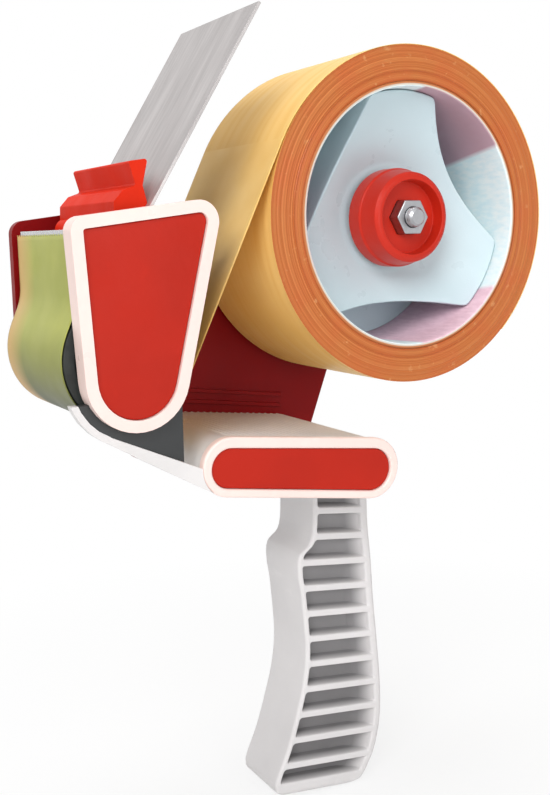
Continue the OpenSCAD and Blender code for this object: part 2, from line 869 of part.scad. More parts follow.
module blade() {
  teeth = floor(blade_w / tooth_pitch);
  half = teeth * tooth_pitch / 2;
  edge = [for (i = [0 : teeth - 1])
    each [[half - i * tooth_pitch, tooth_rise - tooth_h], [half - (i + 0.5) * tooth_pitch, tooth_rise]]];
  color(steel)
    difference() {
      at_cutter()
        along_x(clear, blade_back)
          polygon(concat([[-half, -blade_h], [half, -blade_h]], edge, [[-half, tooth_rise - tooth_h]]));
      blade_screw_places()
        csk_screw(blade_screw_size, seat);
    }
}

module blade_screws() {
  color(steel)
    blade_screw_places()
      csk_screw(blade_screw_size);
}

// Front roller: axle, two flanged bushes, core with lightening holes and rubber sleeve
module roller_axle() {
  color(steel)
    at_roller()
      rod(axle_r, near_out + flush, far_out - 1 - flush);
}

module roller_core() {
  core_out = roller_r - sleeve_t;
  bush_out = axle_r + run_fit + bush_wall;
  hole_r = (core_out - bush_out) / 2 - 1.4;
  color(black)
    at_roller()
      difference() {
        rod(core_out, -roller_half, roller_half);
        rod(bush_out, -roller_half - past, roller_half + past);
        for (k = [0 : 5])
          rotate([0, 60 * k, 0])
            translate([(core_out + bush_out) / 2, 0, 0])
              rod(hole_r, -roller_half - past, roller_half + past);
      }
}

module roller_sleeve() {
  color(black)
    at_roller()
      difference() {
        rod(roller_r, -roller_half, roller_half);
        rod(roller_r - sleeve_t, -roller_half - past, roller_half + past);
      }
}

module roller_bushes() {
  color(nylon)
    at_roller()
      for (side = [0, 1])
        mirror([0, side, 0])
          difference() {
            rod(axle_r + run_fit + bush_wall, roller_half - bush_l, roller_half);
            rod(axle_r + run_fit, roller_half - bush_l - past, roller_half + past);
          }
}

// Wiper flap: grey plate in a red carrier, held by a strip and screws, on a sprung pin
module wiper_plate() {
  color(steel)
    at_wiper()
      difference() {
        translate([wiper_offset, -tape_w / 2, 0])
          cube([wiper_t, tape_w, wiper_l]);
        wiper_screw_places()
          rod_back(wiper_screw_size[0] + seat, wiper_offset - past, wiper_offset + wiper_t + past);
      }
}

module wiper_screw_places() {
  for (k = [-1, 0, 1])
    translate([0, k * wiper_screw_y, wiper_screw_z])
      children();
}

// Round bar square to the wiper plate
module rod_back(r, from, to) {
  translate([from, 0, 0])
    rotate([0, 90, 0])
      cylinder(r = r, h = to - from);
}

module wiper_carrier() {
  web = wiper_offset;
  color(red)
    at_wiper()
      difference() {
        across(carrier_near, carrier_far) {
          polygon(rounded([[web, -knuckle_r / 2], [web, carrier_grip],
            [-lip_back * 0.2, (carrier_grip + lip_h) / 2], [-lip_back, lip_top], [-lip_reach, lip_h],
            [-notch_reach, notch_h], [foot_corner - foot_reach, foot_h], [-foot_reach, foot_low],
            [foot_corner * 3 - foot_reach, foot_low / 4], [-knuckle_r / 2, -knuckle_r / 2]], foot_corner));
          circle(r = knuckle_r);
        }
        translate([web, -tape_w, -knuckle_r * 2])
          cube([knuckle_r * 2, tape_w * 2, knuckle_r * 4]);
        rod(pin_r + run_fit, -tape_w, tape_w);
        wiper_screw_places()
          rod_back(wiper_screw_size[0] + seat, -wiper_screw_size[3] - seat, web + past);
      }
}

module wiper_strip() {
  color(steel)
    at_wiper()
      difference() {
        translate([wiper_offset + wiper_t, carrier_near, past])
          cube([strip_t, carrier_far - carrier_near, strip_h]);
        wiper_screw_places()
          rod_back(wiper_screw_size[0] + seat, wiper_offset, wiper_offset + wiper_t + strip_t + past);
      }
}

module wiper_screws() {
  back = wiper_offset + wiper_t + strip_t;
  color(steel)
    at_wiper()
      wiper_screw_places() {
        rod_back(wiper_screw_size[0], -wiper_screw_size[3], back + past / 2);
        rod_back(wiper_screw_size[1], back, back + wiper_screw_size[2]);
      }
}

module wiper_pin() {
  color(steel)
    at_pin()
      rod(pin_r, near_out + flush, far_out - 1 - flush);
}

// Path of the torsion spring: a leg on the bar's deck, the coil, and a leg bent up behind the plate
coil_from = carrier_far + clear + coil_wire;
coil_start = 270;
coil_sweep = 360 * coil_turns - wiper_lean;
coil_rings = 16;
up_plate = [sin(wiper_lean), 0, cos(wiper_lean)];
off_plate = [cos(wiper_lean), 0, -sin(wiper_lean)];
coil_behind = wiper_offset + wiper_t + coil_wire + seat;
function coil_out(i) = let (a = coil_start + coil_sweep * i / coil_rings) [cos(a), 0, sin(a)];
function coil_at(i) = coil_r * coil_out(i)
  + [0, coil_from + coil_pitch * coil_turns * (1 - i / coil_rings), 0];
coil_bend = coil_at(coil_rings) + coil_behind * off_plate;
coil_path = concat([coil_at(0) - [coil_leg, 0, 0]], [for (i = [0 : coil_rings]) coil_at(i)],
  [coil_bend, coil_bend + (coil_leg + coil_r) * up_plate]);
coil_outward = concat([coil_out(0)], [for (i = [0 : coil_rings]) coil_out(i)],
  [off_plate - up_plate, off_plate]);
echo(wiper_spring_least_gap = least_gap(coil_path, coil_wire, 6));

module wiper_spring() {
  color(steel)
    at_pin()
      wire(coil_path, coil_outward, coil_wire);
}

// Hub: sleeve on the bolt, a dished cap with three arms whose skirt holds the paper core, and a back disc
hub_half_angle = asin(hub_arm_w / 2 / hub_r);
hub_corner = hub_r * [cos(60 - hub_half_angle), sin(60 - hub_half_angle)];
hub_waist_r = min(hub_waist, hub_corner[0] - 1);
hub_cut_at = (hub_r * hub_r - hub_waist_r * hub_waist_r) / 2 / (hub_corner[0] - hub_waist_r);
hub_cut_r = hub_cut_at - hub_waist_r;

// Hollows between the arms, made larger by extra
module hub_hollows(extra, to) {
  for (a = [30, 150, 270])
    translate([hub_cut_at * cos(a), 0, hub_cut_at * sin(a)])
      rod(hub_cut_r + extra, -tape_w, to);
}

module hub() {
  inner = hub_r - hub_t;
  color(ice)
    at_roll()
      difference() {
        turned([[hub_bush_r, hub_back], [hub_sleeve_r, hub_back], [hub_sleeve_r, -hub_flange],
          [hub_r, -hub_flange], [hub_r, hub_tip], [hub_flat_r, hub_face], [pocket_r, hub_face],
          [pocket_r, pocket_floor], [hub_bush_r, pocket_floor]]);
        hub_hollows(0, hub_flange - hub_t);
        difference() {
          turned([[hub_sleeve_r, -hub_flange - past], [inner, -hub_flange - past],
            [inner, hub_tip - hub_t], [hub_flat_r, hub_face - hub_t], [hub_sleeve_r, hub_face - hub_t]]);
          hub_hollows(hub_t, tape_w);
        }
      }
}

module hub_bush() {
  color(nylon)
    at_roll()
      turned([[bolt_r + run_fit, hub_back], [hub_bush_r, hub_back], [hub_bush_r, pocket_floor],
        [bolt_r + run_fit, pocket_floor]]);
}

// Tension: bolt from the far side, friction disc, spring, washer, knob and nut
module axle_bolt() {
  color(steel)
    at_roll() {
      rod(bolt_r, -bolt_end, far_out - flush - head_h / 2);
      from_near(far_out - head_h - flush)
        mirror([0, 0, 1])
          cylinder(r = hex_r, h = head_h, $fn = 6);
    }
}

module friction_disc() {
  color(black)
    at_roll()
      turned([[bolt_r + seat, -boss_in], [boss_r - 1, -boss_in], [boss_r - 1, disc_t - boss_in],
        [bolt_r + seat, disc_t - boss_in]]);
}

tension_rings = spring_turns * 8;
function tension_out(i) = [cos(360 * i / 8), 0, sin(360 * i / 8)];
tension_path = [for (i = [0 : tension_rings])
  spring_r * tension_out(i) - [0, spring_from + (spring_to - spring_from) * i / tension_rings, 0]];
tension_outward = [for (i = [0 : tension_rings]) tension_out(i)];
echo(tension_spring_least_gap = least_gap(tension_path, spring_wire, 6));

module tension_spring() {
  color(steel)
    at_roll()
      wire(tension_path, tension_outward, spring_wire);
}

module thrust_washer() {
  color(steel)
    at_roll()
      turned([[bolt_r + run_fit, washer_in], [pocket_r - seat, washer_in],
        [pocket_r - seat, washer_in + washer_t], [bolt_r + run_fit, washer_in + washer_t]]);
}

module knob() {
  collar = knob_base + knob_h * 0.45;
  edge = 1;
  color(red)
    at_roll()
      difference() {
        turned([[bolt_r + clear, knob_cavity], [pocket_r + 1.2, knob_cavity], [pocket_r + 1.2, knob_base],
          [knob_r - edge / 2, knob_base], [knob_r, knob_base + edge / 2], [knob_r, collar],
          [knob_r - edge / 2, collar + edge / 2], [knob_front_r + edge / 2, knob_front - edge],
          [knob_front_r - edge, knob_front], [knob_recess_r, knob_front],
          [knob_recess_r - edge / 2, knob_front - knob_recess], [bolt_r + clear, knob_front - knob_recess]]);
        from_near(-nut_seat)
          cylinder(r = hex_r + seat, h = knob_h, $fn = 6);
      }
}

module hex_nut() {
  color(steel)
    at_roll()
      difference() {
        from_near(-nut_seat)
          cylinder(r = hex_r, h = nut_h, $fn = 6);
        rod(bolt_r + run_fit, -bolt_end, 0);
      }
}

// Tape: paper core, wound tape and the free tape from the roll round the roller to the cutter
module tape_core() {
  color(paper)
    at_roll()
      difference() {
        rod(core_r + core_wall, -tape_w / 2, tape_w / 2);
        rod(core_r, -tape_w / 2 - past, tape_w / 2 + past);
      }
}

module tape_winding() {
  color(amber)
    at_roll()
      difference() {
        rod(roll_r, -tape_w / 2, tape_w / 2);
        rod(core_r + core_wall, -tape_w / 2 - past, tape_w / 2 + past);
      }
}

module tape_web() {
  function wrap(r, k) = let (a = web_angle + (leave_angle - 360 - web_angle) * k / wrap_steps)
    r * [cos(a), sin(a)];
  leave = wrap(wrap_r, wrap_steps);
  leave_way = [sin(leave_angle), -cos(leave_angle)];
  pull = norm(bend_end - leave) * 0.4;
  function bend(k) = let (t = k / bend_steps, s = 1 - t) s * s * s * leave
    + 3 * s * s * t * (leave + pull * leave_way)
    + 3 * s * t * t * (bend_end - pull * [cut_normal[1], -cut_normal[0]]) + t * t * t * bend_end;
  function bend_out(k) = let (way = bend(k + 0.1) - bend(k - 0.1))
    bend(k) + tape_t * [-way[1], way[0]] / norm(way);
  color(amber)
    at_roller()
      across(-tape_w / 2, tape_w / 2)
        polygon(concat(
          [web_span - (roll_r + clear) * web_normal],
          [for (k = [0 : wrap_steps]) wrap(wrap_r + tape_t, k)],
          [for (k = [1 : bend_steps]) bend_out(k)],
          [cut_end + tape_t * cut_normal, cut_end],
          [for (k = [bend_steps : -1 : 1]) bend(k)],
          [for (k = [wrap_steps : -1 : 0]) wrap(wrap_r, k)],
          [web_span - (roll_r + clear + tape_t) * web_normal]));
}

chassis();
near_arm();
side_frame();
handle();
handle_screws();
frame_screws();
beam_bezel();
beam_insert();
near_cheek();
cheek_insert();
blade_bar();
bar_screws();
blade();
blade_screws();
roller_axle();
roller_core();
roller_sleeve();
roller_bushes();
wiper_plate();
wiper_carrier();
wiper_strip();
wiper_screws();
wiper_pin();
wiper_spring();
hub();
hub_bush();
axle_bolt();
friction_disc();
tension_spring();
thrust_washer();
knob();
hex_nut();
tape_core();
tape_winding();
tape_web();
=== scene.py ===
import math

import bmesh
import bpy
from mathutils import Matrix, Vector


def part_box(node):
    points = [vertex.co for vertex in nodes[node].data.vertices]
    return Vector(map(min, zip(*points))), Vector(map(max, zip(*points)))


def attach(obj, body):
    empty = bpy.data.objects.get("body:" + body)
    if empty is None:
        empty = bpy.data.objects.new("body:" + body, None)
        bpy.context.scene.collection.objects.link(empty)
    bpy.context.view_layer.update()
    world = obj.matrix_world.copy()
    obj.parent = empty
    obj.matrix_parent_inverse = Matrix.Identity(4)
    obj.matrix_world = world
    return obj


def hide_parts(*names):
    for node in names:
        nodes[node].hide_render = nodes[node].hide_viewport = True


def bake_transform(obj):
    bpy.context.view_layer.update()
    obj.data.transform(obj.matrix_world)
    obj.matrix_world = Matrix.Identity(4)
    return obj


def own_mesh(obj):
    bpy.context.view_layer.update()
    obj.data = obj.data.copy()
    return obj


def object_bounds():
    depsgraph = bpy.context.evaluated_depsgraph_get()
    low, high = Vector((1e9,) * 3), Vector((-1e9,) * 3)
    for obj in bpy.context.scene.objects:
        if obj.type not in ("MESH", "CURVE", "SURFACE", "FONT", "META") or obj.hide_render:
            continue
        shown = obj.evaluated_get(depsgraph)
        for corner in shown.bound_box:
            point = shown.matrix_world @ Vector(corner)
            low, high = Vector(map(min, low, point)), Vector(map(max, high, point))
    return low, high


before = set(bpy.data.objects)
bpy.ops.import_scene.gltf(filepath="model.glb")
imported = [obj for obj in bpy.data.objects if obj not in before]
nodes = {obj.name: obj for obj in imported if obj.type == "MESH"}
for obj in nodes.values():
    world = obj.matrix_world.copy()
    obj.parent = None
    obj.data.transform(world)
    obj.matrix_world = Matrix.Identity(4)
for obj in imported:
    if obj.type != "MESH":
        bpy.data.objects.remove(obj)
cad_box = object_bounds()
scene = bpy.context.scene
MM = 0.001


# Places and sizes in millimetres, in the row frame
def box_mm(node):
    low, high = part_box(node)
    return [v / MM for v in low], [v / MM for v in high]


def middle_xz(node):
    low, high = box_mm(node)
    return (low[0] + high[0]) / 2, (low[2] + high[2]) / 2


ROLL = middle_xz("tape_winding")
ROLLER = middle_xz("roller_sleeve")
PIN = middle_xz("wiper_pin")
TAPE_HALF = box_mm("tape_winding")[1][1]
ROLL_R = box_mm("tape_winding")[1][0] - ROLL[0]
CORE_R = box_mm("tape_core")[1][0] - ROLL[0]
CORE_WALL = 1.5
WRAP_R = box_mm("roller_sleeve")[1][0] - ROLLER[0] + 0.3
WIPER_LEAN = math.radians(32)
BEAM = ((-48.4, 67.2, 8.1), (-0.9, 60.8, 8.8))


# Colours
def srgb(r, g, b):
    def linear(c):
        c /= 255
        return c / 12.92 if c <= 0.04045 else ((c + 0.055) / 1.055) ** 2.4
    return linear(r), linear(g), linear(b), 1.0


def shade(rgb, k):
    return tuple(min(c * k, 1.0) for c in rgb[:3]) + (1.0,)


# Materials
class Finish:
    """One node material round a Principled shader, in the row frame's metres."""

    def __init__(self, name, rough, metal=0.0, **sockets):
        self.mat = bpy.data.materials.new(name)
        self.mat.use_nodes = True
        self.tree = self.mat.node_tree
        self.shader = self.tree.nodes["Principled BSDF"]
        self.shader.inputs["Roughness"].default_value = rough
        self.shader.inputs["Metallic"].default_value = metal
        for key, value in sockets.items():
            self.shader.inputs[key.replace("_", " ")].default_value = value
        self.where = self.add("ShaderNodeTexCoord").outputs["Object"]
        self.normal = None

    def add(self, kind, **settings):
        node = self.tree.nodes.new(kind)
        for key, value in settings.items():
            setattr(node, key, value)
        return node

    def join(self, value, socket):
        if isinstance(value, bpy.types.NodeSocket):
            self.tree.links.new(value, socket)
        else:
            socket.default_value = value

    def noise(self, scale, detail=2.0, stretch=(1, 1, 1), turn=0.0):
        place = self.add("ShaderNodeMapping")
        place.inputs["Scale"].default_value = stretch
        place.inputs["Rotation"].default_value = (0, turn, 0)
        self.join(self.where, place.inputs["Vector"])
        texture = self.add("ShaderNodeTexNoise")
        texture.inputs["Scale"].default_value = scale
        texture.inputs["Detail"].default_value = detail
        self.join(place.outputs["Vector"], texture.inputs["Vector"])
        return texture.outputs["Fac"]

    def line_noise(self, value, scale, detail=2.0):
        texture = self.add("ShaderNodeTexNoise", noise_dimensions="1D")
        texture.inputs["Scale"].default_value = scale
        texture.inputs["Detail"].default_value = detail
        self.join(value, texture.inputs["W"])
        return texture.outputs["Fac"]

    def span(self, value, low, high, start=0.0, end=1.0):
        node = self.add("ShaderNodeMapRange")
        self.join(value, node.inputs["Value"])
        for key, number in (("From Min", low), ("From Max", high), ("To Min", start), ("To Max", end)):
            node.inputs[key].default_value = number
        return node.outputs["Result"]

    def math(self, operation, a, b=0.0):
        node = self.add("ShaderNodeMath", operation=operation)
        self.join(a, node.inputs[0])
        self.join(b, node.inputs[1])
        return node.outputs["Value"]

    def mix(self, share, a, b):
        node = self.add("ShaderNodeMix", data_type="RGBA")
        self.join(share, node.inputs[0])
        self.join(a, node.inputs[6])
        self.join(b, node.inputs[7])
        return node.outputs[2]

    def axes(self):
        node = self.add("ShaderNodeSeparateXYZ")
        self.join(self.where, node.inputs["Vector"])
        return node.outputs

    def round_axis(self, centre):
        """Distance from an axis along Y, and the angle round it as a share of a turn."""
        x, y, z = self.axes()
        x = self.math("SUBTRACT", x, centre[0] * MM)
        z = self.math("SUBTRACT", z, centre[1] * MM)
        far = self.math("SQRT", self.math("ADD", self.math("MULTIPLY", x, x), self.math("MULTIPLY", z, z)))
        turn = self.math("DIVIDE", self.math("ARCTAN2", z, x), 2 * math.pi)
        return far, turn, y

    def colour(self, value):
        self.join(value, self.shader.inputs["Base Color"])

    def rough(self, value):
        self.join(value, self.shader.inputs["Roughness"])

    def bump(self, height, depth, strength=1.0):
        node = self.add("ShaderNodeBump")
        node.inputs["Strength"].default_value = strength
        node.inputs["Distance"].default_value = depth
        self.join(height, node.inputs["Height"])
        if self.normal:
            self.join(self.normal, node.inputs["Normal"])
        self.normal = node.outputs["Normal"]
        self.join(self.normal, self.shader.inputs["Normal"])


def moulded(name, rgb, rough, mottle=0.05, peel=0.00005, grain=0.00002, scuffs=0.25, **sockets):
    """Moulded plastic: faint clouding, sparse scuffs, orange peel and a fine spark grain."""
    f = Finish(name, rough, **sockets)
    base = f.mix(f.span(f.noise(38, 4), 0.36, 0.64), shade(rgb, 1 - mottle), shade(rgb, 1 + mottle))
    scuff = f.span(f.noise(240, 6, (1, 0.3, 0.6)), 0.62, 0.74, 0, scuffs)
    f.colour(f.mix(scuff, base, shade(rgb, 1.35)))
    f.rough(f.span(f.noise(95, 4), 0.3, 0.7, rough - 0.07, rough + 0.08))
    f.bump(f.noise(420, 2), peel)
    f.bump(f.noise(2600, 2), grain)
    return f.mat


def brushed(name, rgb, rough, stretch):
    """Metal with fine lines along one direction, and faint clouding."""
    f = Finish(name, rough, 1.0)
    lines = f.noise(1, 4, stretch)
    cloud = f.span(f.noise(60, 4), 0.35, 0.65)
    base = f.mix(cloud, shade(rgb, 0.92), shade(rgb, 1.08))
    f.colour(f.mix(f.span(lines, 0.35, 0.65, 0, 0.5), base, shade(rgb, 0.82)))
    f.rough(f.span(lines, 0.3, 0.7, rough - 0.08, rough + 0.1))
    f.bump(lines, 0.00002)
    return f.mat


def wiper_metal():
    """Satin spring steel with broad pale streaks up its length, painted highlights of reflected light."""
    f = Finish("satin_sheet", 0.38, 0.55)
    fine = f.noise(1, 4, (90, 1100, 60), WIPER_LEAN)
    # Painted highlight: broad pale streaks of reflected light up the plate
    painted_highlight = f.span(f.noise(1, 3, (30, 150, 22), WIPER_LEAN), 0.4, 0.66)
    base = f.mix(painted_highlight, srgb(176, 171, 170), srgb(194, 189, 188))
    f.colour(f.mix(f.span(fine, 0.35, 0.7, 0, 0.15), base, srgb(146, 142, 142)))
    f.rough(f.span(fine, 0.3, 0.7, 0.3, 0.48))
    f.bump(fine, 0.00002)
    return f.mat


GOLD = srgb(242, 196, 112), srgb(250, 210, 132)


def tape_outer():
    """Outside of the wound film: golden, with streaks round the roll."""
    f = Finish("tape_outer", 0.45, Specular_IOR_Level=0.2)
    y = f.axes()[1]
    streak = f.noise(1, 4, (24, 420, 24))
    cloud = f.span(f.noise(26, 3, (1, 0.5, 1)), 0.36, 0.66)
    base = f.mix(cloud, *GOLD)
    f.colour(f.mix(f.span(streak, 0.45, 0.75, 0, 0.4), base, srgb(234, 182, 96)))
    f.rough(f.span(streak, 0.3, 0.7, 0.38, 0.54))
    f.bump(f.line_noise(y, 260, 3), 0.00006)
    f.bump(f.noise(60, 2), 0.00012)
    return f.mat


def tape_side():
    """Side of the wound film: one line for each layer, in orange and amber, with small painted glints."""
    f = Finish("tape_side", 0.42, Specular_IOR_Level=0.25)
    far = f.round_axis(ROLL)[0]
    layers = f.line_noise(far, 3600, 3)
    bands = f.line_noise(far, 420, 2)
    patch = f.span(f.noise(85, 4), 0.4, 0.64)
    base = f.mix(f.span(bands, 0.35, 0.65), srgb(184, 98, 44), srgb(206, 126, 68))
    base = f.mix(f.math("MULTIPLY", patch, 0.45), base, srgb(202, 98, 52))
    # Painted glints: sparse pale flecks where light catches the layer edges
    painted_glint = f.span(f.noise(330, 5), 0.64, 0.72, 0, 0.5)
    base = f.mix(painted_glint, base, srgb(228, 172, 116))
    f.colour(f.mix(f.span(layers, 0.4, 0.6, 0.3, 0), base, srgb(144, 64, 24)))
    f.rough(f.span(bands, 0.3, 0.7, 0.28, 0.46))
    f.bump(layers, 0.00006)
    return f.mat


def tape_film():
    """The free film: golden by the roll, greener where it lies over the dark roller, and darker low down
    under the roller as painted shade.
    """
    f = Finish("tape_film", 0.42, Specular_IOR_Level=0.2)
    x, y, z = f.axes()
    front = f.span(x, -0.058, -0.078)
    cloud = f.span(f.noise(45, 3), 0.36, 0.64)
    gold = f.mix(cloud, *GOLD)
    green = f.mix(cloud, srgb(166, 170, 86), srgb(182, 185, 100))
    # Painted shade: the film darkens low down, where it wraps under the roller
    green = f.mix(f.span(z, 0.085, 0.108), srgb(70, 74, 40), green)
    green = f.mix(f.span(y, 0.01, 0.022, 0, 0.75), green, srgb(220, 176, 116))
    f.colour(f.mix(front, gold, green))
    f.rough(f.span(f.noise(60, 3), 0.3, 0.7, 0.36, 0.5))
    f.bump(f.noise(34, 2), 0.0002)
    return f.mat


def paper():
    """Wound paper: fibres, a spiral seam and a broad pale spiral tint on the inner wall, darker above the
    centre as painted shade.
    """
    f = Finish("wound_paper", 0.62)
    far, turn, y = f.round_axis(ROLL)
    strips, lean, start = 3.0, 2.35, 39.78
    spiral = f.math("ADD", f.math("MULTIPLY", turn, strips), f.math("MULTIPLY", y, lean))
    share = f.math("FRACT", f.math("ADD", spiral, start))
    band = f.math("MULTIPLY", f.span(share, 0.0, 0.02), f.span(share, 0.42, 0.44, 1, 0))
    inner = f.span(far, (CORE_R - CORE_WALL + 0.25) * MM, (CORE_R - CORE_WALL + 0.35) * MM, 1, 0)
    fibre = f.noise(700, 6, (1, 0.35, 1))
    white = f.mix(f.span(fibre, 0.35, 0.65), srgb(228, 248, 252), srgb(244, 255, 255))
    mauve = f.mix(f.span(fibre, 0.35, 0.65), srgb(236, 196, 210), srgb(250, 214, 226))
    # Painted shade: the tint darkens above the roll's centre, where the roll's top shadows the inner wall
    mauve = f.mix(f.span(f.axes()[2], (ROLL[1] - 8) * MM, (ROLL[1] + 16) * MM), mauve, srgb(196, 160, 172))
    wall = f.mix(band, white, mauve)
    rim = f.mix(f.span(f.line_noise(far, 2600, 2), 0.4, 0.6), srgb(196, 186, 170), srgb(222, 214, 200))
    rim = f.mix(f.span(far, (CORE_R - 0.85) * MM, (CORE_R - 0.6) * MM), rim, srgb(190, 116, 66))
    f.colour(f.mix(inner, rim, wall))
    f.rough(f.span(fibre, 0.3, 0.7, 0.52, 0.7))
    seam = f.math("ABSOLUTE", f.math("SUBTRACT", share, 0.43))
    f.bump(f.span(seam, 0.0, 0.012), 0.00012)
    f.bump(fibre, 0.00003)
    return f.mat


def pocket_painted_shade(name, rgb, low_shade_rgb, high_shade_rgb, half):
    """Moulded plastic of the grip's pockets with painted shade, darker with depth and towards the heel."""
    f = Finish(name, 0.5, Specular_IOR_Level=0.35)
    x, y, z = f.axes()
    cloud = f.span(f.noise(60, 4), 0.3, 0.7, -0.12, 0.12)
    # Painted shade: the pocket colour darkens towards the heel and with depth into the pocket
    heel_shade = f.mix(f.math("ADD", f.span(z, -0.05, 0.045), cloud), low_shade_rgb, high_shade_rgb)
    deep = f.span(f.math("ABSOLUTE", y), (half - 0.2) * MM, (half - 3.6) * MM)
    f.colour(f.mix(deep, rgb, heel_shade))
    f.bump(f.noise(2600, 2), 0.00003)
    return f.mat


def rubber():
    f = Finish("rubber", 0.6)
    f.colour(f.mix(f.span(f.noise(140, 5), 0.4, 0.7), srgb(30, 34, 32), srgb(52, 56, 54)))
    f.rough(f.span(f.noise(300, 3), 0.3, 0.7, 0.5, 0.72))
    f.bump(f.noise(1900, 3), 0.00004)
    return f.mat


def felt():
    f = Finish("felt", 0.95)
    f.colour(f.mix(f.noise(1600, 6), srgb(34, 34, 35), srgb(66, 65, 64)))
    f.bump(f.noise(1800, 6), 0.0002)
    return f.mat


red = moulded("red_plastic", srgb(194, 40, 22), 0.36, 0.05, scuffs=0.15, Specular_IOR_Level=0.25)
bright_red = moulded("bright_red_plastic", srgb(218, 44, 16), 0.5, 0.05, scuffs=0.1, Specular_IOR_Level=0.1)
# Darker copy of the red plastic for the side frame: painted shade where the roll shadows the frame
shaded_red = moulded("shaded_red_plastic", srgb(130, 10, 13), 0.4, 0.06, scuffs=0.1, Specular_IOR_Level=0.12)
panel_red = moulded("panel_red_plastic", srgb(180, 32, 12), 0.42, 0.05, scuffs=0.12, Specular_IOR_Level=0.2)
grey = moulded("grey_plastic", srgb(220, 217, 216), 0.42, 0.04, grain=0.00003, scuffs=0.12)
GRIP = srgb(219, 216, 216)
GRIP_W = (box_mm("handle")[1][1] - box_mm("handle")[0][1]) / 2
grip = moulded("grip_plastic", GRIP, 0.45, 0.035, grain=0.00003, scuffs=0.12)
# The pockets' finish paints the shade that falls into them
pocket = pocket_painted_shade("grip_pocket_shade", GRIP, srgb(120, 118, 119), srgb(150, 148, 149), GRIP_W)
pale = moulded("pale_plastic", srgb(248, 222, 214), 0.34, 0.02, scuffs=0.1)
ice = moulded("hub_plastic", srgb(194, 214, 220), 0.32, 0.02, scuffs=0.0, Coat_Weight=0.1)
# Dark plastic: the roller core's own colour, and painted shade on the near arm
dark = moulded("dark_plastic", srgb(44, 46, 47), 0.5, 0.08)
nylon = moulded("nylon", srgb(226, 223, 212), 0.4, 0.03)
turned_steel = brushed("turned_steel", srgb(196, 196, 198), 0.3, (900, 2400, 900))
plated = brushed("plated_steel", srgb(172, 173, 176), 0.36, (700, 700, 700))
blade_steel = brushed("blade_steel", srgb(200, 200, 202), 0.26, (300, 300, 2600))
sheet_metal = wiper_metal()
outer_film = tape_outer()
side_film = tape_side()
free_film = tape_film()
core_paper = paper()
sleeve_rubber = rubber()
disc_felt = felt()


# Solids of the frame that keep their own shape, with softened edges
def dress(node, finish, edge):
    obj = nodes[node]
    obj.data.materials.clear()
    obj.data.materials.append(finish)
    obj.data.shade_smooth()
    weld = obj.modifiers.new("weld", "WELD")
    weld.merge_threshold = 0.000002
    plain = obj.modifiers.new("plain", "DECIMATE")
    plain.decimate_type = "DISSOLVE"
    plain.angle_limit = math.radians(0.5)
    soft = obj.modifiers.new("edge", "BEVEL")
    soft.width = edge * MM
    soft.segments = 3
    soft.limit_method = "ANGLE"
    soft.angle_limit = math.radians(34)
    obj.modifiers.new("shade", "WEIGHTED_NORMAL").keep_sharp = True


# The near arm's dark plastic is painted shade in the gap between the cheek and the beam
for node, finish, edge in (
        ("chassis", grey, 0.6), ("near_arm", dark, 0.5), ("side_frame", shaded_red, 0.7),
        ("handle_screws", plated, 0.15), ("beam_bezel", pale, 0.7), ("beam_insert", panel_red, 0.35),
        ("near_cheek", pale, 0.8), ("cheek_insert", panel_red, 0.35), ("blade_bar", red, 0.4),
        ("blade", blade_steel, 0.06), ("roller_axle", turned_steel, 0.3), ("roller_core", dark, 0.4),
        ("roller_sleeve", sleeve_rubber, 0.5), ("roller_bushes", nylon, 0.2),
        ("wiper_plate", sheet_metal, 0.15), ("wiper_carrier", bright_red, 0.4), ("wiper_strip", plated, 0.2),
        ("wiper_screws", plated, 0.15), ("wiper_pin", turned_steel, 0.2),
        ("hub_bush", nylon, 0.2), ("friction_disc", disc_felt, 0.15), ("thrust_washer", plated, 0.12),
        ("knob", red, 0.4), ("hex_nut", plated, 0.35)):
    dress(node, finish, edge)


